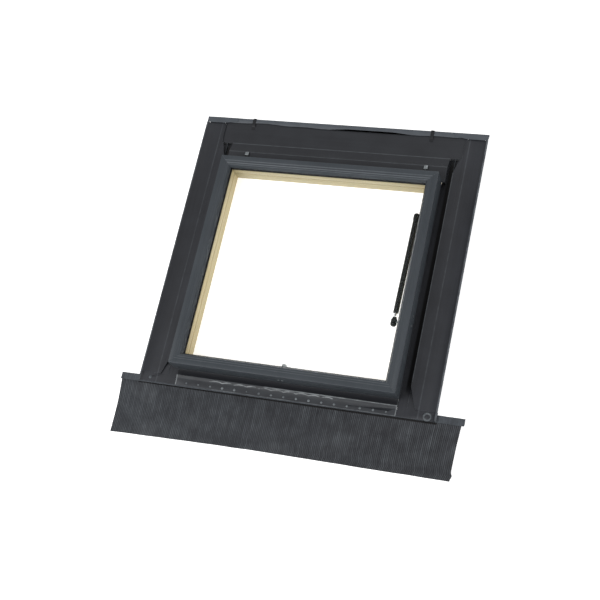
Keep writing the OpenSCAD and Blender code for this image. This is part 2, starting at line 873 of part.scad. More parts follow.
placed() handle_pivot();
placed() handle_lever();
placed() latch_tongue();
placed() latch_nose();
placed() strut_tube();
placed() strut_guide();
placed() strut_upper_socket();
placed() strut_rod();
placed() strut_piston();
placed() strut_lower_socket();
placed() strut_lower_ball();
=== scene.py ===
"""Top-hung roof access skylight.

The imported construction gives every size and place. This script gives the finishes, the
softened edges, the dressed apron, the hems and the small fittings, and the studio.
"""

import json
import logging
import math
from dataclasses import dataclass, field
from enum import Enum

import bmesh
import bpy
from mathutils import Matrix, Vector, noise


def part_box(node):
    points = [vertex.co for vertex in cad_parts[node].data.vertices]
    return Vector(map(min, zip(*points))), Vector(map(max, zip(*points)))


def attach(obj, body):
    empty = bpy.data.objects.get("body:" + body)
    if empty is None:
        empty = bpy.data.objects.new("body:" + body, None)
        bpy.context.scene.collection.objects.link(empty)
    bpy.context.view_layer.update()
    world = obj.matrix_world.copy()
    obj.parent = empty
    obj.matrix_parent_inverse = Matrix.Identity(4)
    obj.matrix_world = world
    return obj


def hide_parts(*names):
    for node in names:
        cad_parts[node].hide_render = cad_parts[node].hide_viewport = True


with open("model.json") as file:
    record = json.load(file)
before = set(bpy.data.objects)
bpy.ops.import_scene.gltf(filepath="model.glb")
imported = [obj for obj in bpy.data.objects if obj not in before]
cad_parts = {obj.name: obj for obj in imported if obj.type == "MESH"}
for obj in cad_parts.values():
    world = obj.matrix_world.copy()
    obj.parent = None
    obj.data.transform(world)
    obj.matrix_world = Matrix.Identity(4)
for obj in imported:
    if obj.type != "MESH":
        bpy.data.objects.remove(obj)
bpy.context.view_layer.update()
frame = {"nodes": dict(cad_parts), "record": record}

log = logging.getLogger("skylight")
MM = 0.001

Socket = bpy.types.NodeSocket
Node = bpy.types.Node


# --- names and places from the construction ---------------------------------------------
def centre_of(node: str) -> Vector:
    """Middle of a CAD node's box at rest."""
    low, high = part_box(node)
    return (low + high) / 2


SASH_CENTRE = centre_of("outer_pane")
BODY_OF = {n: b for b, group in frame["record"]["behaviour"]["bodies"].items() for n in group}

# Values that the pleated sheet's mesh carries for its finish
ACROSS_PLEATS = "across_pleats"
DOWN_PLEATS = "down_pleats"


class Axis(Enum):
    """A direction that grain, rolling marks or a worn line follows."""

    X = 0
    Y = 1


# --- node helpers -----------------------------------------------------------------------
def linear(colour: str) -> tuple[float, float, float, float]:
    """Turns an sRGB hex colour into linear values.

    Args:
        colour: Six hex digits after a hash.

    Returns:
        Linear red, green, blue and an alpha of 1.
    """
    parts = [int(colour[i:i + 2], 16) / 255 for i in (1, 3, 5)]
    lin = [c / 12.92 if c <= 0.04045 else ((c + 0.055) / 1.055) ** 2.4 for c in parts]
    return (lin[0], lin[1], lin[2], 1.0)


def add_node(tree: bpy.types.NodeTree, kind: str, inputs: dict | None = None,
             **settings: object) -> Node:
    """Adds one shader node with its settings, values and links.

    Args:
        tree: The tree it goes into.
        kind: Blender's node type name.
        inputs: Socket name or index to a value, or to the socket it is linked from.
        **settings: Attributes of the node, such as its operation.

    Returns:
        The new node.
    """
    made = tree.nodes.new(kind)
    for key, value in settings.items():
        setattr(made, key, value)
    for key, value in (inputs or {}).items():
        if isinstance(value, Socket):
            tree.links.new(value, made.inputs[key])
        else:
            made.inputs[key].default_value = value
    return made


def math_node(tree: bpy.types.NodeTree, operation: str, *values: float | Socket) -> Socket:
    """Adds a Math node over the given values and returns its output."""
    made = add_node(tree, "ShaderNodeMath", dict(enumerate(values)), operation=operation)
    return made.outputs[0]


def mixed(tree: bpy.types.NodeTree, factor: float | Socket, low: object,
          high: object) -> Socket:
    """Blends two colours and returns the colour output.

    Args:
        tree: The tree it goes into.
        factor: How much of the second colour shows.
        low: First colour, as values or a socket.
        high: Second colour, as values or a socket.

    Returns:
        The blended colour.
    """
    made = add_node(tree, "ShaderNodeMix", {0: factor, 6: low, 7: high}, data_type="RGBA")
    return made.outputs[2]


def mapped(tree: bpy.types.NodeTree, value: Socket, low: float, high: float,
           to_low: float = 0.0, to_high: float = 1.0) -> Socket:
    """Maps a value from one range to another, clamped."""
    made = add_node(tree, "ShaderNodeMapRange",
                    {0: value, 1: low, 2: high, 3: to_low, 4: to_high}, clamp=True)
    return made.outputs[0]


def noise_at(tree: bpy.types.NodeTree, vector: Socket, size_mm: float, detail: float = 3.0,
             rough: float = 0.5) -> Socket:
    """Noise whose features are about size_mm across on vector's unstretched axes."""
    made = add_node(tree, "ShaderNodeTexNoise",
                    {"Vector": vector, "Scale": 1000.0 / size_mm, "Detail": detail,
                     "Roughness": rough})
    return made.outputs[0]


@dataclass(frozen=True)
class Coordinates:
    """Object coordinates about the sash's middle, and copies stretched along an axis."""

    tree: bpy.types.NodeTree

    def centred(self) -> Socket:
        """Object coordinates about the sash's middle.

        Returns:
            The coordinates, made once in each tree.
        """
        found = self.tree.nodes.get("centred")
        if found is None:
            source = add_node(self.tree, "ShaderNodeTexCoord").outputs["Object"]
            found = add_node(self.tree, "ShaderNodeMapping",
                             {"Vector": source,
                              "Location": (-SASH_CENTRE.x, -SASH_CENTRE.y, 0.0)})
            found.name = "centred"
        return found.outputs[0]

    def stretched(self, axis: Axis, times: float) -> Socket:
        """Coordinates that make a pattern longer along an axis.

        Args:
            axis: The axis.
            times: How many times longer.

        Returns:
            The coordinates.
        """
        scale = [1.0, 1.0, 1.0]
        scale[axis.value] = 1.0 / times
        return add_node(self.tree, "ShaderNodeMapping",
                        {"Vector": self.centred(), "Scale": scale}).outputs[0]

    def parts(self) -> list[Socket]:
        """The centred X, Y and Z as three outputs."""
        return list(add_node(self.tree, "ShaderNodeSeparateXYZ", {0: self.centred()}).outputs)


# --- finishes ---------------------------------------------------------------------------
@dataclass(frozen=True)
class WornAndLitLine:
    """A thin line where a fold or edge catches light, painted as a highlight, and where its
    coating is rubbed.

    Args:
        axis: Axis whose coordinate is constant along the line.
        place: That coordinate in metres from the sash's middle.
        half: Half the line's width in metres.
        strength: How far the colour goes to the pale worn and painted-highlight one, 0 to 1.
        both_sides: Whether the mirrored place is too.
        limit: Range of the other axis in which it shows, in metres.
        broken: How far it fades along its length, 0 to 1.
        wander: How far it strays to either side, in metres.
        scallop: Depth of the arcs it is crimped into, in metres.
        pitch: Length of one arc in metres.
    """

    axis: Axis
    place: float
    half: float = 1.2 * MM
    strength: float = 0.5
    both_sides: bool = False
    limit: tuple[float, float] = (-1.0, 1.0)
    broken: float = 0.3
    wander: float = 0.0
    scallop: float = 0.0
    pitch: float = 43.5 * MM


@dataclass(frozen=True)
class PaintedShadeBand:
    """A band of painted shade: a sheet darkened in a low, sheltered band where the sash and
    folds cast shadow.

    Args:
        axis: Axis across the band.
        start: Distance from the sash's middle to the band's near side, in metres.
        end: The same to its far side.
        under: Height below which it lies, in metres.
        limit: Range of the other axis in which it lies, in metres.
        colour: Its colour.
    """

    axis: Axis
    start: float
    end: float
    under: float
    limit: tuple[float, float] = (-1.0, 1.0)
    colour: str = "#060607"


@dataclass(frozen=True)
class Finish:
    """What every finish has: its name, colour and sheen."""

    name: str
    colour: str
    roughness: float = 0.5
    metallic: float = 0.0
    gloss: float = 0.5

    def start(self) -> tuple[bpy.types.Material, bpy.types.NodeTree, Node]:
        """Makes the material with its uniform values set.

        Returns:
            The material, its tree and its shader.
        """
        material = bpy.data.materials.new(self.name)
        material.use_nodes = True
        tree = material.node_tree
        shader = tree.nodes["Principled BSDF"]
        shader.inputs["Base Color"].default_value = linear(self.colour)
        shader.inputs["Roughness"].default_value = self.roughness
        shader.inputs["Metallic"].default_value = self.metallic
        shader.inputs["Specular IOR Level"].default_value = self.gloss
        return material, tree, shader

    def bump(self, tree: bpy.types.NodeTree, shader: Node, height: Socket, strength: float,
             depth_mm: float) -> None:
        """Links a height to the shader's normal as bump of a real depth."""
        made = add_node(tree, "ShaderNodeBump",
                        {"Height": height, "Strength": strength, "Distance": depth_mm * MM})
        tree.links.new(made.outputs[0], shader.inputs["Normal"])


@dataclass(frozen=True)
class CoatedSheet(Finish):
    """Polyester-coated aluminium sheet: satin, faintly streaked along its rolling; its lines
    add painted highlight and wear, its band painted shade.
    """

    gloss: float = 0.3
    pale: str = "#4a4d52"
    # Pale colour of the lines: painted highlight and rubbed coating.
    worn_and_lit: str = "#7d8388"
    grain: Axis = Axis.Y
    patch_mm: float = 90.0
    streak_mm: float = 7.0
    streaks: float = 0.35
    lines: tuple[WornAndLitLine, ...] = ()
    lip_from: float | None = None
    lip: str = "#60656a"
    lip_above: float = 13.2 * MM
    # A band darkened as painted shade, where one is given.
    film_and_painted_shade: PaintedShadeBand | None = None

    def line_mask(self, tree: bpy.types.NodeTree, line: WornAndLitLine, spots: Socket) -> Socket:
        """How far one line lightens the colour, as painted highlight and wear.

        Args:
            tree: The material's tree.
            line: The worn line.
            spots: Noise that breaks the line up along its length.

        Returns:
            A value from 0 to the line's strength.
        """
        xyz = Coordinates(tree).parts()
        along = xyz[1 - line.axis.value]
        across = xyz[line.axis.value]
        if line.both_sides:
            across = math_node(tree, "ABSOLUTE", across)
        if line.wander:
            stray = math_node(tree, "SUBTRACT", spots, 0.5)
            across = math_node(tree, "MULTIPLY_ADD", stray, 3 * line.wander, across)
        if line.scallop:
            turn = math_node(tree, "MULTIPLY", along, math.pi / line.pitch)
            arc = math_node(tree, "ABSOLUTE", math_node(tree, "SINE", turn))
            across = math_node(tree, "MULTIPLY_ADD", arc, -line.scallop, across)
        away = math_node(tree, "ABSOLUTE", math_node(tree, "SUBTRACT", across, line.place))
        mask = mapped(tree, away, line.half, line.half * 0.35)
        inside = math_node(tree, "MULTIPLY",
                           math_node(tree, "GREATER_THAN", along, line.limit[0]),
                           math_node(tree, "LESS_THAN", along, line.limit[1]))
        broken = mapped(tree, spots, 0.36, 0.6, 1.0 - line.broken, 1.0)
        for factor in (inside, broken, line.strength):
            mask = math_node(tree, "MULTIPLY", mask, factor)
        return mask

    def painted_shade_mask(self, tree: bpy.types.NodeTree, film_and_painted_shade: PaintedShadeBand) -> Socket:
        """Where the band of painted shade lies.

        Args:
            tree: The material's tree.
            film_and_painted_shade: The band of painted shade.

        Returns:
            A value of 1 inside its band and under its height, soft at its edge.
        """
        xyz = Coordinates(tree).parts()
        along = xyz[1 - film_and_painted_shade.axis.value]
        across = math_node(tree, "ABSOLUTE", xyz[film_and_painted_shade.axis.value])
        edges = (mapped(tree, across, film_and_painted_shade.start - 3 * MM, film_and_painted_shade.start + 2 * MM),
                 mapped(tree, across, film_and_painted_shade.end, film_and_painted_shade.end - 1.5 * MM),
                 mapped(tree, xyz[2], film_and_painted_shade.under, film_and_painted_shade.under - 2 * MM),
                 mapped(tree, along, film_and_painted_shade.limit[0] - 20 * MM, film_and_painted_shade.limit[0] + 20 * MM),
                 mapped(tree, along, film_and_painted_shade.limit[1] + 20 * MM, film_and_painted_shade.limit[1] - 20 * MM))
        mask = edges[0]
        for edge in edges[1:]:
            mask = math_node(tree, "MULTIPLY", mask, edge)
        return mask

    def build(self) -> bpy.types.Material:
        """Makes the material.

        Returns:
            The material.
        """
        material, tree, shader = self.start()
        at = Coordinates(tree)
        patches = noise_at(tree, at.centred(), self.patch_mm, 4.0)
        streaks = noise_at(tree, at.stretched(self.grain, 40.0), self.streak_mm, 3.0, 0.6)
        tone = math_node(tree, "ADD",
                         math_node(tree, "MULTIPLY", mapped(tree, patches, 0.3, 0.7), 0.55),
                         math_node(tree, "MULTIPLY", mapped(tree, streaks, 0.3, 0.7),
                                   self.streaks))
        colour = mixed(tree, tone, linear(self.colour), linear(self.pale))
        if self.lip_from is not None:
            _, y, z = at.parts()
            up = math_node(tree, "GREATER_THAN", z, self.lip_above)
            back = math_node(tree, "GREATER_THAN", y, self.lip_from)
            dusty = mapped(tree, noise_at(tree, at.centred(), 26.0, 4.0), 0.3, 0.75, 0.7, 1.0)
            on_lip = math_node(tree, "MULTIPLY", math_node(tree, "MULTIPLY", up, back), dusty)
            colour = mixed(tree, on_lip, colour, linear(self.lip))
        spots = noise_at(tree, at.centred(), 22.0, 3.0)
        # Painted highlight, partly wear: each line lightens the colour where a fold or edge
        # catches light.
        for line in self.lines:
            colour = mixed(tree, self.line_mask(tree, line, spots), colour, linear(self.worn_and_lit))
        # Painted shade: the band is darkened where the sash and folds cast shadow.
        if self.film_and_painted_shade is not None:
            colour = mixed(tree, self.painted_shade_mask(tree, self.film_and_painted_shade), colour,
                           linear(self.film_and_painted_shade.colour))
        tree.links.new(colour, shader.inputs["Base Color"])
        grit = noise_at(tree, at.centred(), 1.6, 2.0)
        tree.links.new(mapped(tree, streaks, 0.2, 0.8, self.roughness - 0.07,
                              self.roughness + 0.09), shader.inputs["Roughness"])
        height = math_node(tree, "ADD", grit, math_node(tree, "MULTIPLY", patches, 6.0))
        self.bump(tree, shader, height, 0.35, 0.12)
        return material


@dataclass(frozen=True)
class PleatedSheet(Finish):
    """Thin coated aluminium, pleated and handled: streaked down its pleats, crests rubbed;
    painted highlight on the crests and towards the left, painted shade in the valleys and
    under the strip.

    Its patterns follow two values that the sheet's mesh carries: how far a point is across
    the pleats and how far down them, both in metres.
    """

    gloss: float = 0.25
    pale: str = "#404347"
    # Pale crest colour: rubbed coating and painted highlight.
    rubbed_and_lit_crest: str = "#6c7175"
    # Painted shade in the pleats' valleys.
    painted_valley_shade: str = "#141518"
    # Painted shadow cast by the bottom strip onto the apron.
    painted_shadow: str = "#070708"
    pitch: float = 5.9 * MM
    # Where that painted shadow starts, and its half-width.
    painted_shadow_from: float = -0.4445
    painted_shadow_half: float = 0.519

    def carried(self, tree: bpy.types.NodeTree, name: str) -> Socket:
        """One of the values that the mesh carries."""
        return add_node(tree, "ShaderNodeAttribute", attribute_name=name).outputs["Fac"]

    def build(self) -> bpy.types.Material:
        """Makes the material.

        Returns:
            The material.
        """
        material, tree, shader = self.start()
        at = Coordinates(tree)
        x, y, _ = at.parts()
        across, down = (self.carried(tree, n) for n in (ACROSS_PLEATS, DOWN_PLEATS))
        near = add_node(tree, "ShaderNodeCombineXYZ",
                        {0: across, 1: math_node(tree, "MULTIPLY", down, 1 / 14)}).outputs[0]
        far = add_node(tree, "ShaderNodeCombineXYZ",
                       {0: across, 1: math_node(tree, "MULTIPLY", down, 1 / 28)}).outputs[0]
        patches = noise_at(tree, at.centred(), 52.0, 5.0, 0.62)
        broad = noise_at(tree, near, 11.0, 3.0, 0.6)
        fine = noise_at(tree, far, 5.0, 2.0, 0.6)
        # Painted light: the tone grows lighter towards the left, where the key light falls.
        left = mapped(tree, x, 0.25, -0.45, -0.12, 0.3)
        tone = math_node(tree, "MULTIPLY", mapped(tree, patches, 0.34, 0.66, 0.2, 1.0),
                         mapped(tree, broad, 0.3, 0.7, 0.25, 1.0))
        tone = mapped(tree, math_node(tree, "ADD", tone, left), 0.0, 1.0)
        colour = mixed(tree, tone, linear(self.colour), linear(self.pale))
        # Painted highlight, partly wear: the pleats' crests are lightened, broken up like
        # rubbed coating.
        wave = math_node(tree, "COSINE", math_node(tree, "MULTIPLY", across,
                                                   2 * math.pi / self.pitch))
        rub_and_highlight = math_node(tree, "MULTIPLY", mapped(tree, wave, -0.2, 0.9),
                        mapped(tree, fine, 0.4, 0.7, 0.1, 0.6))
        rub_and_highlight = math_node(tree, "MULTIPLY", rub_and_highlight, mapped(tree, patches, 0.35, 0.65, 0.35, 0.9))
        colour = mixed(tree, rub_and_highlight, colour, linear(self.rubbed_and_lit_crest))
        # Painted shade: the pleats' valleys are darkened.
        colour = mixed(tree, mapped(tree, wave, -0.3, -1.0, 0.0, 0.5), colour,
                       linear(self.painted_valley_shade))
        # Painted shadow: the sheet is darkened just below the bottom strip's edge, where the
        # strip casts shadow.
        under = mapped(tree, y, self.painted_shadow_from - 1.5 * MM, self.painted_shadow_from)
        covered = math_node(tree, "LESS_THAN", math_node(tree, "ABSOLUTE", x),
                            self.painted_shadow_half)
        colour = mixed(tree, math_node(tree, "MULTIPLY", under, covered), colour,
                       linear(self.painted_shadow))
        tree.links.new(colour, shader.inputs["Base Color"])
        tree.links.new(mapped(tree, broad, 0.2, 0.8, self.roughness - 0.1,
                              self.roughness + 0.1), shader.inputs["Roughness"])
        self.bump(tree, shader, noise_at(tree, at.centred(), 3.2, 3.0), 0.4, 0.2)
        return material


@dataclass(frozen=True)
class Pine(Finish):
    """Planed pine under a clear finish: growth rings seen as lines along the rail."""

    late: str = "#b79f68"
    fibre: str = "#a88f5a"
    grain: Axis = Axis.X

    def build(self) -> bpy.types.Material:
        """Makes the material.

        Returns:
            The material.
        """
        material, tree, shader = self.start()
        at = Coordinates(tree)
        drift = noise_at(tree, at.stretched(self.grain, 9.0), 60.0, 3.0)
        rings = noise_at(tree, at.stretched(self.grain, 45.0), 5.0, 2.0, 0.45)
        fibre = noise_at(tree, at.stretched(self.grain, 30.0), 1.1, 3.0, 0.7)
        lines = math_node(tree, "MULTIPLY", mapped(tree, rings, 0.42, 0.66),
                          mapped(tree, drift, 0.25, 0.7, 0.35, 1.0))
        colour = mixed(tree, math_node(tree, "MULTIPLY", lines, 0.8), linear(self.colour),
                       linear(self.late))
        dark = mapped(tree, fibre, 0.55, 0.8, 0.0, 0.35)
        colour = mixed(tree, dark, colour, linear(self.fibre))
        tree.links.new(colour, shader.inputs["Base Color"])
        tree.links.new(mapped(tree, rings, 0.2, 0.8, self.roughness + 0.08,
                              self.roughness - 0.06), shader.inputs["Roughness"])
        self.bump(tree, shader, math_node(tree, "ADD", fibre, rings), 0.3, 0.1)
        shader.inputs["Coat Weight"].default_value = 0.08
        shader.inputs["Coat Roughness"].default_value = 0.35
        return material


@dataclass(frozen=True)
class Pane(Finish):
    """Clear float glass, almost unseen, with a little gloss."""

    gloss: float = 0.5
    alpha: float = 0.009
    filmed: str = "#b9c9c4"

    def build(self) -> bpy.types.Material:
        """Makes the material.

        Returns:
            The material.
        """
        material, tree, shader = self.start()
        shader.inputs["Alpha"].default_value = self.alpha
        at = Coordinates(tree)
        film_and_painted_shade = noise_at(tree, at.centred(), 120.0, 4.0)
        tree.links.new(mapped(tree, film_and_painted_shade, 0.3, 0.7, 0.02, 0.07), shader.inputs["Roughness"])
        tree.links.new(mixed(tree, mapped(tree, film_and_painted_shade, 0.3, 0.7), linear(self.colour),
                             linear(self.filmed)), shader.inputs["Base Color"])
        material.surface_render_method = "BLENDED"
        return material


@dataclass(frozen=True)
class Moulded(Finish):
    """Moulded rubber or plastic: matt, with a fine even grit."""

    pale: str = "#1c1d1e"
    grit_mm: float = 0.9

    def build(self) -> bpy.types.Material:
        """Makes the material.

        Returns:
            The material.
        """
        material, tree, shader = self.start()
        at = Coordinates(tree)
        scuff = noise_at(tree, at.centred(), 16.0, 4.0)
        tree.links.new(mixed(tree, mapped(tree, scuff, 0.45, 0.75), linear(self.colour),
                             linear(self.pale)), shader.inputs["Base Color"])
        self.bump(tree, shader, noise_at(tree, at.centred(), self.grit_mm, 2.0), 0.35, 0.08)
        return material


@dataclass(frozen=True)
class BareMetal(Finish):
    """Plated, cast or drawn metal: brushed along an axis, with a mottled plating."""

    pale: str = "#c9ccce"
    grain: Axis = Axis.Y
    mottle_mm: float = 5.0
    brushing: float = 0.5

    def build(self) -> bpy.types.Material:
        """Makes the material.

        Returns:
            The material.
        """
        material, tree, shader = self.start()
        at = Coordinates(tree)
        mottle = noise_at(tree, at.centred(), self.mottle_mm, 4.0)
        brush = noise_at(tree, at.stretched(self.grain, 30.0), 0.9, 2.0, 0.6)
        tree.links.new(mixed(tree, mapped(tree, mottle, 0.3, 0.7), linear(self.colour),
                             linear(self.pale)), shader.inputs["Base Color"])
        tree.links.new(mapped(tree, brush, 0.2, 0.8, self.roughness - 0.08,
                              self.roughness + 0.12), shader.inputs["Roughness"])
        self.bump(tree, shader, brush, self.brushing * 0.4, 0.05)
        return material


# Painted highlight, partly wear: lines lightened along folds, lips and seams, broken up like
# rubbed coating.
SIDE_LINES = (
    WornAndLitLine(Axis.X, 0.4552, 2.8 * MM, 0.13, True, broken=0.6, wander=0.4 * MM),
    WornAndLitLine(Axis.X, 0.4190, 1.9 * MM, 0.3, True, (-0.32, 0.42), 0.6, 0.6 * MM),
    WornAndLitLine(Axis.X, 0.5145, 3.6 * MM, 0.42, True, broken=0.7),
)
TOP_LINES = (
    WornAndLitLine(Axis.Y, 0.4750, 2.2 * MM, 0.24, False, (-0.398, 0.398), 0.4),
    WornAndLitLine(Axis.Y, 0.4370, 2.2 * MM, 0.2, False, (-0.398, 0.398), 0.4),
)
BOTTOM_LINES = (
    WornAndLitLine(Axis.Y, -0.4032, 2.6 * MM, 0.62, False, (-0.07, 0.385), 0.6, 0.2 * MM),
    WornAndLitLine(Axis.Y, -0.4110, 2.0 * MM, 0.66, False, (-0.27, 0.17), 1.0, 0.5 * MM, 3.5 * MM),
    WornAndLitLine(Axis.Y, -0.4365, 1.6 * MM, 0.4, False, (-0.25, 0.385), 0.8, 0.3 * MM),
    WornAndLitLine(Axis.X, 0.3825, 1.8 * MM, 0.5, True, (-0.44, -0.39)),
)

POWDER_COAT = CoatedSheet("powder_coated_sash_aluminium", "#34393e", 0.42, pale="#40454a",
                          streaks=0.2, patch_mm=140.0)
# Painted highlight: the sash profiles' rounded edges are paler than the faces, those of the
# top and bottom rails more than those of the stiles.
POWDER_COAT_EDGE = CoatedSheet("powder_coat_with_painted_highlight_on_rail_edges", "#474c51", 0.38,
                               pale="#575c61", patch_mm=30.0)
POWDER_COAT_SIDE_EDGE = CoatedSheet("powder_coat_with_painted_highlight_on_stile_edges", "#383c41", 0.42,
                                    pale="#454a4e", patch_mm=60.0)
# The side sheets' band is painted shadow, black in the gutter under the rib's free edge.
SIDE_SHEET = CoatedSheet("coated_side_flashing_sheet", "#27282c", 0.47, pale="#313338",
                         lines=SIDE_LINES, lip_from=0.552, lip="#4f545a",
                         film_and_painted_shade=PaintedShadeBand(Axis.X, 0.4015, 0.4175, 12 * MM, (-0.345, 0.47)))
TOP_SHEET = CoatedSheet("coated_top_flashing_sheet", "#26272b", 0.47, pale="#303236",
                        grain=Axis.X, lines=TOP_LINES, lip_from=0.545, lip="#4f545a")
# The bottom sheet's band is painted shade under the sash's bottom skirt; its pale line colour
# is painted highlight and wear.
BOTTOM_SHEET = CoatedSheet("coated_bottom_flashing_sheet", "#292a2e", 0.45, pale="#3a3d41",
                           worn_and_lit="#a4a9ac", grain=Axis.X, lines=BOTTOM_LINES, patch_mm=40.0,
                           film_and_painted_shade=PaintedShadeBand(Axis.Y, 0.3, 0.4015, 40 * MM, colour="#242529"))
# Painted highlight: folded sheet edges and the pressed stud are paler than the sheets.
SHEET_EDGE = CoatedSheet("coating_with_painted_highlight_on_sheet_edges", "#3c4044", 0.42, pale="#50555a",
                         patch_mm=25.0)
# The pressed points are paler than the sheet: rubbed coating and painted highlight.
CLINCH = CoatedSheet("rubbed_coating_and_painted_highlight_on_pressed_points", "#4b5054", 0.36, pale="#858a8e",
                     patch_mm=60.0)
# The ring is paler than the sheet: rubbed coating and painted highlight.
RING_COAT = CoatedSheet("rubbed_coating_and_painted_highlight_on_the_ring", "#3f4347", 0.4, pale="#6c7175",
                        patch_mm=14.0)
STRAP_COAT = CoatedSheet("dark_coated_strap", "#16171a", 0.5, pale="#222428", patch_mm=12.0)
APRON_COAT = PleatedSheet("pleated_apron_aluminium", "#27282c", 0.5)
HEM_COAT = CoatedSheet("folded_apron_hem_aluminium", "#303338", 0.45, pale="#464b50",
                       patch_mm=18.0, streak_mm=3.0, streaks=0.6)
HINGE_COAT = CoatedSheet("dark_coated_hinge_steel", "#1f2023", 0.5, pale="#2c2e32",
                         patch_mm=12.0)
PINE_ACROSS = Pine("planed_pine_along_the_rails", "#b5ab87", 0.55, late="#a29067",
                   grain=Axis.X)
PINE_UP = Pine("planed_pine_along_the_stiles", "#c8bb92", 0.55, grain=Axis.Y)
ROUGH_PINE = Pine("sawn_pine_batten", "#b7a375", 0.75, late="#94794a", grain=Axis.X)
GLASS = Pane("clear_float_glass", "#a6aeac", 0.03)
EPDM = Moulded("black_epdm_seal", "#0d0d0e", 0.7)
NYLON = Moulded("black_glass_filled_nylon", "#070708", 0.55, gloss=0.2, pale="#0e0e10",
                grit_mm=0.6)
ENAMEL = Moulded("black_enamelled_strut_tube", "#050506", 0.45, gloss=0.2, pale="#0b0b0d",
                 grit_mm=3.0)
ZINC = BareMetal("zinc_plated_steel", "#8f9496", 0.34, 1.0, pale="#b4b8ba")
BRIGHT_ZINC = BareMetal("bright_zinc_fastener", "#7f8588", 0.38, 1.0, pale="#a9aeb1",
                        mottle_mm=3.0)
BRACKET = BareMetal("zinc_plated_bracket_steel", "#83888b", 0.38, 1.0, pale="#a4a9ab",
                    mottle_mm=8.0)
CHROME = BareMetal("hard_chromed_rod", "#c8cacc", 0.14, 1.0, pale="#dcdedf", brushing=0.2)
CAST = BareMetal("satin_cast_aluminium_handle", "#a3a8ab", 0.36, 0.85, pale="#c0c4c6")
MILL = BareMetal("mill_finish_aluminium", "#a9adaf", 0.4, 1.0)


@dataclass
class FinishShelf:
    """Builds each finish once and hands it out."""

    made: dict[str, bpy.types.Material] = field(default_factory=dict)

    def get(self, finish: Finish) -> bpy.types.Material:
        """The material of a finish, built on first use."""
        if finish.name not in self.made:
            self.made[finish.name] = finish.build()
        return self.made[finish.name]


SHELF = FinishShelf()


# --- mesh helpers -----------------------------------------------------------------------
def added(name: str, data: bpy.types.ID) -> bpy.types.Object:
    """Puts a new object into the scene."""
    made = bpy.data.objects.new(name, data)
    bpy.context.scene.collection.objects.link(made)
    return made


def dress_cad(finish: Finish, *nodes: str) -> None:
    """Gives CAD nodes that are shown as they are a better material.

    Args:
        finish: The finish that all of them get.
        *nodes: The CAD nodes.
    """
    for node in nodes:
        slots = frame["nodes"][node].data.materials
        slots.clear()
        slots.append(SHELF.get(finish))
        log.info("dressed %s with %s", node, finish.name)


def finish_piece(mesh: bmesh.types.BMesh, name: str, like: str, finishes: list[Finish],
                 replaced: tuple[str, ...] = (), smooth_deg: float = 32.0) -> bpy.types.Object:
    """Turns a bmesh into a shown piece that rides with a CAD node's body.

    Args:
        mesh: The piece's shape in the row frame. It is freed.
        name: The piece's name.
        like: CAD node whose body it shares.
        finishes: One finish for each material index.
        replaced: CAD nodes it stands for.
        smooth_deg: Edges sharper than this stay sharp.

    Returns:
        The new object.
    """
    data = bpy.data.meshes.new(name)
    mesh.to_mesh(data)
    mesh.free()
    for finish in finishes:
        data.materials.append(SHELF.get(finish))
    data.shade_smooth()
    data.set_sharp_from_angle(angle=math.radians(smooth_deg))
    piece = added(name, data)
    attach(piece, BODY_OF[like])
    if replaced:
        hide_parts(*replaced)
    log.info("made %s: %d faces", name, len(data.polygons))
    return piece


def merged_copy(node: str) -> bmesh.types.BMesh:
    """Copies a CAD node's shape, with shared corners and whole flat faces.

    Args:
        node: The CAD node.

    Returns:
        The copy.
    """
    mesh = bmesh.new()
    mesh.from_mesh(frame["nodes"][node].data)
    bmesh.ops.remove_doubles(mesh, verts=mesh.verts, dist=2e-6)
    bmesh.ops.dissolve_limit(mesh, angle_limit=math.radians(0.8), verts=mesh.verts,
                             edges=mesh.edges)
    return mesh


def softened(node: str, finish: Finish, edge: Finish | None = None, width: float = 0.8 * MM,
             least: float = 6 * MM, sharp_deg: float = 24.0,
             segments: int = 2) -> bpy.types.Object:
    """Replaces a CAD node by a copy whose long edges are rounded.

    Args:
        node: The CAD node.
        finish: Its finish.
        edge: Finish of the rounded edges, or None for the same.
        width: Size of the rounding in metres.
        least: Shortest edge that is rounded, in metres.
        sharp_deg: Smallest fold that is rounded.
        segments: Facets across a rounding.

    Returns:
        The new piece.
    """
    mesh = merged_copy(node)
    picked = [e for e in mesh.edges
              if len(e.link_faces) == 2 and e.calc_length() >= least
              and e.calc_face_angle(0.0) >= math.radians(sharp_deg)]
    made = bmesh.ops.bevel(mesh, geom=picked, offset=width, offset_type="OFFSET",
                           segments=segments, profile=0.5, affect="EDGES", material=-1,
                           clamp_overlap=False)
    if edge is not None:
        for face in made["faces"]:
            face.material_index = 1
    return finish_piece(mesh, node + "_finished", node,
                        [finish] if edge is None else [finish, edge], (node,))


def thickened(mesh: bmesh.types.BMesh, thickness: float) -> None:
    """Gives an open sheet its thickness, faces outwards.

    Args:
        mesh: The sheet.
        thickness: Its thickness in metres.
    """
    bmesh.ops.recalc_face_normals(mesh, faces=mesh.faces)
    bmesh.ops.solidify(mesh, geom=[*mesh.verts, *mesh.edges, *mesh.faces],
                       thickness=thickness)
    bmesh.ops.recalc_face_normals(mesh, faces=mesh.faces)


def turned(mesh: bmesh.types.BMesh, section: list[Vector], centre: Vector, axis: Vector,
           steps: int) -> None:
    """Turns a section about an axis into a closed round body.

    Args:
        mesh: The bmesh it is added to.
        section: The section's corners, from the axis out and back to it.
        centre: A point on the axis.
        axis: The axis's direction.
        steps: Facets round it.
    """
    points = [mesh.verts.new(corner) for corner in section]
    edges = [mesh.edges.new(pair) for pair in zip(points, points[1:])]
    bmesh.ops.spin(mesh, geom=[*points, *edges], cent=centre, axis=axis, dvec=(0, 0, 0),
                   angle=2 * math.pi, steps=steps, use_merge=True)
    bmesh.ops.remove_doubles(mesh, verts=mesh.verts, dist=0.01 * MM)
    bmesh.ops.recalc_face_normals(mesh, faces=mesh.faces)


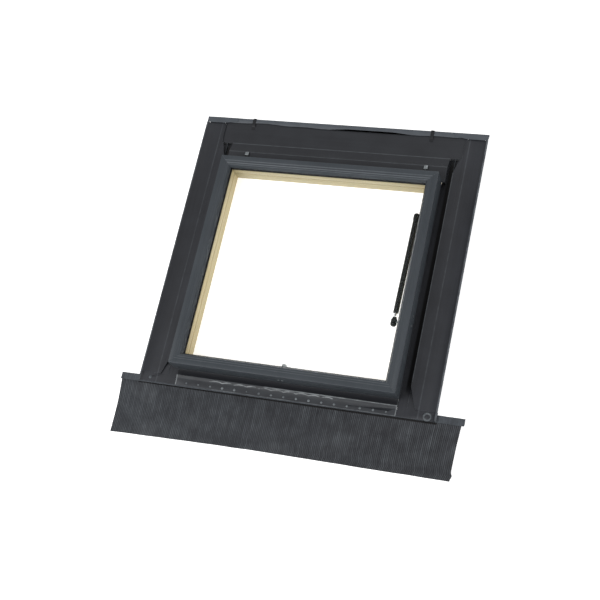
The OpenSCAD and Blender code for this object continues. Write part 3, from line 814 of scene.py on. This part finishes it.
def dome(mesh: bmesh.types.BMesh, at: Vector, radius: float, height: float,
         segments: int = 16) -> None:
    """Adds a pressed dome: the top half of a flattened ball, closed below.

    Args:
        mesh: The bmesh it is added to.
        at: Middle of its foot.
        radius: Radius of its foot in metres.
        height: How far it stands up in metres.
        segments: Facets round it.
    """
    place = Matrix.Translation(at) @ Matrix.Diagonal((radius, radius, height, 1.0))
    made = bmesh.ops.create_uvsphere(mesh, u_segments=segments, v_segments=10, radius=1.0,
                                     matrix=place)
    own = made["verts"]
    faces = {f for v in own for f in v.link_faces}
    edges = {e for v in own for e in v.link_edges}
    cut = bmesh.ops.bisect_plane(mesh, geom=[*own, *edges, *faces], plane_co=at,
                                 plane_no=Vector((0, 0, -1)), clear_outer=True)
    rim = [g for g in cut["geom_cut"] if isinstance(g, bmesh.types.BMEdge)]
    bmesh.ops.contextual_create(mesh, geom=rim)


# Radius and height along the bead, as shares of the ring's own
RING_SECTION = ((0.0, 0.16), (0.3, 0.2), (0.5, 0.5), (0.66, 0.9), (0.76, 1.0), (0.88, 0.75),
                (1.0, 0.0), (0.0, 0.0))


def pressed_ring(mesh: bmesh.types.BMesh, at: Vector, radius: float, height: float,
                 segments: int = 36) -> None:
    """Adds a round pressed bead with a dished middle, closed below.

    Args:
        mesh: The bmesh it is added to.
        at: Middle of its foot.
        radius: Radius of its foot in metres.
        height: Height of the bead's crest in metres.
        segments: Facets round it.
    """
    section = [at + Vector((r * radius, 0, h * height)) for r, h in RING_SECTION]
    turned(mesh, section, at, Vector((0, 0, 1)), segments)


# --- sub-assemblies ---------------------------------------------------------------------
@dataclass
class PineFrame:
    """The fixed frame: pine rails and stiles, batten, seal and their screws."""

    rounding: float = 1.2 * MM
    planks: tuple[tuple[str, Pine], ...] = (
        ("frame_top_rail", PINE_ACROSS), ("frame_bottom_rail", PINE_ACROSS),
        ("frame_left_stile", PINE_UP), ("frame_right_stile", PINE_UP),
        ("hinge_batten", ROUGH_PINE))

    def build(self) -> None:
        """Makes and dresses every piece."""
        for node, pine in self.planks:
            softened(node, pine, width=self.rounding, least=20 * MM)
        dress_cad(EPDM, "frame_seal")
        dress_cad(ZINC, "frame_corner_screws", "flashing_screws")


@dataclass
class Flashing:
    """The folded sheets round the frame, their clinches, pressed corners and straps."""

    rounding: float = 0.45 * MM
    clinch_pitch: float = 43.5 * MM
    clinch_shift: float = 4 * MM
    clinch_from_edge: float = 10 * MM
    clinch_radius: float = 4.6 * MM
    clinch_height: float = 1.7 * MM
    above_hem: float = 1.2 * MM
    fold_length: float = 118 * MM
    fold_shallow: float = 14 * MM
    fold_deep: float = 21.9 * MM
    fold_thick: float = 0.6 * MM
    fold_wave: float = 0.6 * MM
    fold_ripple: float = 0.12 * MM
    # Places are inwards from the side, up from the free edge
    ring_place: tuple[float, float] = (31 * MM, 12 * MM)
    ring_size: tuple[float, float] = (15 * MM, 4 * MM)
    stud_place: tuple[float, float] = (38 * MM, 14 * MM)
    stud_size: tuple[float, float] = (5.5 * MM, 2 * MM)

    def sheets(self) -> None:
        """The four folded sheets with their edges softened."""
        for node, finish in (("flashing_left", SIDE_SHEET), ("flashing_right", SIDE_SHEET),
                             ("flashing_top", TOP_SHEET), ("flashing_bottom", BOTTOM_SHEET)):
            # The rounded edges take the paler edge finish, a painted highlight.
            softened(node, finish, SHEET_EDGE, self.rounding, 12 * MM, 60.0, 1)
        softened("flashing_clips", STRAP_COAT, None, 0.2 * MM, 8 * MM, 40.0, 1)

    def clinches(self) -> None:
        """A row of small pressed domes that join the bottom sheet to the hem."""
        low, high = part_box("flashing_bottom")
        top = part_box("apron_hem")[1].z + self.above_hem
        mesh = bmesh.new()
        count = int((high.x - low.x) / 2 / self.clinch_pitch)
        for i in range(-count, count + 1):
            x = SASH_CENTRE.x + self.clinch_shift + i * self.clinch_pitch
            size = 0.82 + 0.3 * noise.noise(Vector((i * 0.73, 2.4, 0)))
            dome(mesh, Vector((x, low.y + self.clinch_from_edge, top)),
                 self.clinch_radius * size, self.clinch_height * size)
        # The domes take the pale finish: painted highlight and wear.
        finish_piece(mesh, "clinch_points", "flashing_bottom", [CLINCH])

    def corner_beads(self) -> None:
        """The large pressed ring at the right corner and the small stud at the left."""
        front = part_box("flashing_bottom")[0].y
        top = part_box("apron_hem")[1].z + self.above_hem
        ring, stud = bmesh.new(), bmesh.new()
        inward, up = self.ring_place
        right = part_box("flashing_right")[1].x
        pressed_ring(ring, Vector((right - inward, front + up, top)), *self.ring_size)
        # The ring takes the pale finish: painted highlight and wear.
        finish_piece(ring, "pressed_corner_ring", "flashing_right", [RING_COAT],
                     smooth_deg=50.0)
        inward, up = self.stud_place
        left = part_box("flashing_left")[0].x
        dome(stud, Vector((left + inward, front + up, top)), *self.stud_size, 20)
        # The stud takes the paler edge finish, a painted highlight.
        finish_piece(stud, "pressed_corner_stud", "flashing_left", [SHEET_EDGE])

    def corner_folds(self) -> None:
        """The lip's two mitred ends, folded over the side sheets' turned-up edges."""
        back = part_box("flashing_top")[1].y - 0.8 * MM
        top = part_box("flashing_clips")[1].z - 0.1 * MM
        for side, name in ((-1, "left"), (1, "right")):
            low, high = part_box("flashing_" + name)
            outer = abs((low if side < 0 else high).x - SASH_CENTRE.x) - 0.9 * MM
            mesh = bmesh.new()
            bmesh.ops.create_grid(mesh, x_segments=24, y_segments=3, size=0.5)
            for vert in mesh.verts:
                u, v = vert.co.x + 0.5, vert.co.y + 0.5
                x = outer - self.fold_length * (1 - u)
                depth = self.fold_shallow + (self.fold_deep - self.fold_shallow) * min(
                    1.0, 2.4 * u)
                wave = self.fold_wave * noise.noise(Vector((x * 40, side * 3.0, 0)))
                front = back - depth - min(0.0, wave)
                ripple = self.fold_ripple * math.sin(x * 110) - 0.15 * MM
                vert.co = Vector((SASH_CENTRE.x + side * x, front + (back - front) * v,
                                  top + ripple))
            thickened(mesh, self.fold_thick)
            finish_piece(mesh, "folded_lip_corner_" + name, "flashing_top", [TOP_SHEET])

    def build(self) -> None:
        """Makes and dresses every piece."""
        self.sheets()
        self.clinches()
        self.corner_beads()
        self.corner_folds()


@dataclass
class Apron:
    """The pleated apron: a thin sheet, folded in fine pleats, dressed and dented by hand."""

    pitch: float = 5.9 * MM
    pleat: float = 0.95 * MM
    thick: float = 0.6 * MM
    columns_per_pleat: int = 4
    rows: int = 30
    dent: float = 2.2 * MM
    tab: float = 5 * MM
    hem_lean: float = 4 * MM
    hem_thick: float = 0.8 * MM
    hem_rib: float = 0.28 * MM
    hem_puff: float = 0.9 * MM
    hem_covered_half: float = 0.521
    side_flare: float = 8 * MM
    left_bow: float = 3.5 * MM
    right_bow: float = 2.5 * MM
    skew: float = 11 * MM
    edge_wave: float = 1.1 * MM

    def outline(self, u: float, v: float, low: Vector, high: Vector) -> Vector:
        """Where a point of the flat sheet lies in plan.

        Args:
            u: 0 at the left edge, 1 at the right.
            v: 0 at the free edge, 1 under the hem.
            low: Lowest corner of the sheet's room.
            high: Highest corner of the sheet's room.

        Returns:
            The point, at the height of 0.
        """
        free = max(0.0, 1 - v)
        bulge = math.sin(math.pi * v)
        left = low.x - 3 * MM + self.side_flare * free ** 0.8 + self.left_bow * bulge
        right = high.x + 4 * MM - self.side_flare * free ** 1.3 - self.right_bow * bulge
        right += self.tab * math.exp(-((v - 0.09) / 0.035) ** 2)
        edge = low.y + self.skew * min(1.0, max(0.0, u) / 0.42) ** 0.8
        edge += self.edge_wave * noise.noise(Vector((u * 14, 3.1, 0))) + 0.4 * MM
        return Vector((left + (right - left) * u, edge + (high.y - edge) * v, 0))

    def height(self, at: Vector, phase: float, v: float, low: Vector,
               high: Vector) -> float:
        """Height of the sheet's middle at a point: slope, pleat and dents.

        Args:
            at: The point in plan.
            phase: Pleats counted from the left edge.
            v: 0 at the free edge, 1 under the hem.
            low: Lowest corner of the sheet's room.
            high: Highest corner of the sheet's room.

        Returns:
            The height in metres.
        """
        foot = low.z + self.pleat + self.thick / 2 + 0.1 * MM
        head = high.z - self.pleat - self.thick / 2
        free = 1 - v
        crush = 1 - 0.5 * max(0.0, noise.noise(Vector((at.x * 9, at.y * 11, 1.7))))
        wave = 1 - 2 * abs(2 * (phase % 1.0) - 1)
        broad = noise.noise(Vector((at.x * 16, at.y * 9, 5.2)))
        small = noise.noise(Vector((at.x * 52, at.y * 38, 9.4)))
        hollow = max(0.0, 0.35 * broad + 0.65 * small)
        lift = self.dent * hollow * min(1.0, 5 * free) * min(1.0, 0.35 + 3 * v)
        return foot + (head - foot) * v - self.pleat * crush * wave + lift

    def sheet(self) -> None:
        """The pleated sheet itself, with the two values that its finish follows."""
        low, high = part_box("apron")
        pleats = int((high.x - low.x) / self.pitch)
        columns = pleats * self.columns_per_pleat
        mesh = bmesh.new()
        bmesh.ops.create_grid(mesh, x_segments=columns, y_segments=self.rows, size=0.5)
        across = mesh.verts.layers.float.new(ACROSS_PLEATS)
        down = mesh.verts.layers.float.new(DOWN_PLEATS)
        for vert in mesh.verts:
            u, v = vert.co.x + 0.5, vert.co.y + 0.5
            at = self.outline(u, v, low, high)
            at.z = self.height(at, u * pleats, v, low, high)
            vert.co = at
            vert[across] = u * pleats * self.pitch
            vert[down] = (1 - v) * (high.y - low.y)
        thickened(mesh, self.thick)
        finish_piece(mesh, "apron_pleated", "apron", [APRON_COAT], ("apron",), 60.0)

    def hem(self) -> None:
        """The flattened, ribbed hem that the apron hangs from."""
        low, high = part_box("apron_hem")
        columns = int((high.x - low.x) / (1.5 * MM))
        mesh = bmesh.new()
        bmesh.ops.create_grid(mesh, x_segments=columns, y_segments=8, size=0.5)
        for vert in mesh.verts:
            u, v = vert.co.x + 0.5, vert.co.y + 0.5
            x = low.x + (high.x - low.x) * u
            y = low.y + (high.y - low.y) * v + self.hem_lean * (u - 0.25)
            y += 0.7 * MM * noise.noise(Vector((x * 25, 0.3, 0))) * (v - 0.5)
            rib = self.hem_rib * math.cos(2 * math.pi * x / self.pitch)
            rib *= max(0.0, math.sin(math.pi * v)) ** 0.5
            visible = 1.0 if abs(x - SASH_CENTRE.x) > self.hem_covered_half else 0.0
            swell = max(0.0, noise.noise(Vector((x * 31, y * 40, 4.0))))
            puff = self.hem_puff * swell * visible
            vert.co = Vector((x, y, high.z - 0.35 * MM + rib * visible + puff))
        thickened(mesh, self.hem_thick)
        finish_piece(mesh, "apron_hem_folded", "apron_hem", [HEM_COAT], ("apron_hem",), 50.0)

    def build(self) -> None:
        """Makes and dresses every piece."""
        self.sheet()
        self.hem()


@dataclass
class Sash:
    """The moving sash: mitred aluminium profiles over a pine inner frame, and its glazing."""

    profile_rounding: float = 0.9 * MM
    wood_rounding: float = 1.2 * MM
    sides: tuple[tuple[str, CoatedSheet, Pine], ...] = (
        ("top", POWDER_COAT_EDGE, PINE_ACROSS), ("bottom", POWDER_COAT_EDGE, PINE_ACROSS),
        ("left", POWDER_COAT_SIDE_EDGE, PINE_UP), ("right", POWDER_COAT_SIDE_EDGE, PINE_UP))

    def build(self) -> None:
        """Makes and dresses every piece."""
        # The profiles' rounded edges take the paler edge finishes, a painted highlight.
        for side, edge, _ in self.sides:
            softened(f"sash_{side}_profile", POWDER_COAT, edge, self.profile_rounding,
                     20 * MM, 30.0)
        for side, _, pine in self.sides:
            softened("sash_wood_" + side, pine, width=self.wood_rounding, least=20 * MM)
        dress_cad(GLASS, "outer_pane", "inner_pane")
        dress_cad(MILL, "sash_corner_keys", "pane_spacer")
        dress_cad(EPDM, "glazing_gasket", "glazing_tape")


@dataclass
class HingeSet:
    """Two hinges at the sash's top, and the square-headed screws that hold them."""

    rounding: float = 0.5 * MM

    def build(self) -> None:
        """Makes and dresses every piece."""
        for leaf in ("frame_leaf_left", "sash_leaf_left", "frame_leaf_right",
                     "sash_leaf_right"):
            softened("hinge_" + leaf, HINGE_COAT, None, self.rounding, 5 * MM, 40.0)
        dress_cad(ZINC, "hinge_pins", "hinge_sash_screws")
        softened("hinge_square_screws", BRIGHT_ZINC, None, 0.8 * MM, 4 * MM, 40.0)


@dataclass
class GasStrut:
    """The gas strut at the right: tube, rod, ball sockets and brackets."""

    rounding: float = 0.6 * MM
    ball: float = 6.5 * MM
    facets: int = 28
    section: tuple[tuple[float, float], ...] = (
        (0.0, -16.6), (3.8, -16.2), (7.1, -14.6), (9.3, -11.8), (10.2, -8.0), (10.2, 6.0),
        (9.6, 8.8), (7.9, 10.8), (7.2, 11.6), (7.2, 15.2), (6.6, 16.0), (0.0, 16.0))

    def socket(self, end: str, towards_tube: float) -> None:
        """A moulded ball socket: a round-ended body with a neck towards the tube or rod.

        Args:
            end: Which end of the strut it is at, upper or lower.
            towards_tube: 1 if its neck points up the slope, -1 if down.
        """
        upper, lower = (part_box(f"strut_{e}_ball") for e in ("upper", "lower"))
        at_upper, at_lower = (Vector((low.x + self.ball, (low.y + high.y) / 2,
                                      (low.z + high.z) / 2)) for low, high in (upper, lower))
        along = (at_upper - at_lower).normalized() * towards_tube
        centre = at_upper if end == "upper" else at_lower
        out = Vector((1, 0, 0))
        mesh = bmesh.new()
        corners = [centre + out * r * MM + along * t * MM for r, t in self.section]
        turned(mesh, corners, centre, along, self.facets)
        node = f"strut_{end}_socket"
        finish_piece(mesh, node + "_moulded", node, [NYLON], (node,), 40.0)

    def build(self) -> None:
        """Makes and dresses every piece."""
        dress_cad(ENAMEL, "strut_tube")
        dress_cad(NYLON, "strut_guide", "strut_piston")
        self.socket("upper", -1)
        self.socket("lower", 1)
        dress_cad(CHROME, "strut_rod")
        dress_cad(ZINC, "strut_upper_ball", "strut_lower_ball", "strut_bracket_screws")
        for node in ("strut_frame_bracket", "strut_sash_bracket"):
            softened(node, BRACKET, None, self.rounding, 2.5 * MM, 40.0)
        dress_cad(BRIGHT_ZINC, "strut_bracket_rivets")


@dataclass
class HandleSet:
    """The turn handle on the sash and its keeper on the frame."""

    rounding: float = 0.7 * MM

    def build(self) -> None:
        """Makes and dresses every piece."""
        for node in ("handle_base", "handle_lever", "latch_tongue", "latch_nose"):
            softened(node, CAST, None, self.rounding, 2.6 * MM, 40.0)
        for node in ("latch_keeper", "latch_keeper_lip"):
            softened(node, BRACKET, None, 0.5 * MM, 2.2 * MM, 40.0)
        dress_cad(ZINC, "latch_keeper_screws", "handle_pivot")
        dress_cad(BRIGHT_ZINC, "handle_bolts")


@dataclass
class Studio:
    """Pale floor, soft light and the camera."""

    lens: float = 73.97
    roll_deg: float = 6.60
    swing_deg: float = 18.80
    tip_deg: float = 18.98
    from_sash_top: Vector = field(default_factory=lambda: Vector((1.3171, -1.3605, 3.6160)))
    floor_size: float = 160.0
    floor_drop: float = 0.4 * MM
    floor_colour: str = "#fbfbfb"
    floor_glow: float = 0.6
    sky: float = 0.5

    def camera(self) -> None:
        """The camera, above the skylight and down the slope, turned a little."""
        data = bpy.data.cameras.new("camera")
        data.lens = self.lens
        data.sensor_width = 36.0
        data.clip_end = 100.0
        seen_from = added("camera", data)
        turn = (Matrix.Rotation(math.radians(self.tip_deg), 4, "X")
                @ Matrix.Rotation(math.radians(self.swing_deg), 4, "Y")
                @ Matrix.Rotation(math.radians(self.roll_deg), 4, "Z"))
        top = Vector((SASH_CENTRE.x, SASH_CENTRE.y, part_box("sash_top_profile")[1].z))
        seen_from.matrix_world = Matrix.Translation(top + self.from_sash_top) @ turn
        bpy.context.scene.camera = seen_from

    def floor(self) -> None:
        """A plain pale floor just under the frame."""
        mesh = bmesh.new()
        bmesh.ops.create_grid(mesh, x_segments=1, y_segments=1, size=self.floor_size / 2,
                              matrix=Matrix.Translation((0, 0, -self.floor_drop)))
        data = bpy.data.meshes.new("floor")
        mesh.to_mesh(data)
        mesh.free()
        material = bpy.data.materials.new("pale_floor")
        material.use_nodes = True
        shader = material.node_tree.nodes["Principled BSDF"]
        shader.inputs["Base Color"].default_value = linear(self.floor_colour)
        shader.inputs["Roughness"].default_value = 0.9
        shader.inputs["Specular IOR Level"].default_value = 0.1
        shader.inputs["Emission Color"].default_value = (1.0, 1.0, 1.0, 1.0)
        shader.inputs["Emission Strength"].default_value = self.floor_glow
        data.materials.append(material)
        ground = added("floor", data)

    def light(self, name: str, place: Vector, size: float, power: float) -> None:
        """A soft square light aimed at the skylight.

        Args:
            name: The light's name.
            place: Where it stands in metres.
            size: Its side in metres.
            power: Its power in watts.
        """
        data = bpy.data.lights.new(name, "AREA")
        data.size = size
        data.energy = power
        lamp = added(name, data)
        lamp.location = place
        lamp.rotation_mode = "QUATERNION"
        lamp.rotation_quaternion = (-place).to_track_quat("-Z", "Y")

    def build(self) -> None:
        """Sets up the studio."""
        scene = bpy.context.scene
        world = bpy.data.worlds.new("studio")
        world.use_nodes = True
        sky = world.node_tree.nodes["Background"]
        sky.inputs["Color"].default_value = (1.0, 1.0, 1.0, 1.0)
        sky.inputs["Strength"].default_value = self.sky
        scene.world = world
        scene.view_settings.view_transform = "Standard"
        self.camera()
        self.floor()
        self.light("key", Vector((-2.6, -2.0, 4.2)), 3.0, 155.0)
        self.light("fill", Vector((1.2, 3.4, 3.6)), 3.0, 25.0)
        self.light("side", Vector((3.6, -0.6, 2.2)), 2.4, 42.0)
        self.light("front", Vector((0.6, -3.8, 1.8)), 2.4, 22.0)


def main() -> None:
    """Builds the studio and every sub-assembly."""
    logging.basicConfig(level=logging.INFO, format="%(name)s: %(message)s")
    parts = (Studio(), PineFrame(), Flashing(), Apron(), Sash(), HingeSet(), GasStrut(),
             HandleSet())
    for part in parts:
        log.info("building %s", type(part).__name__)
        part.build()
    bpy.context.view_layer.update()


if __name__ == "__main__":
    main()
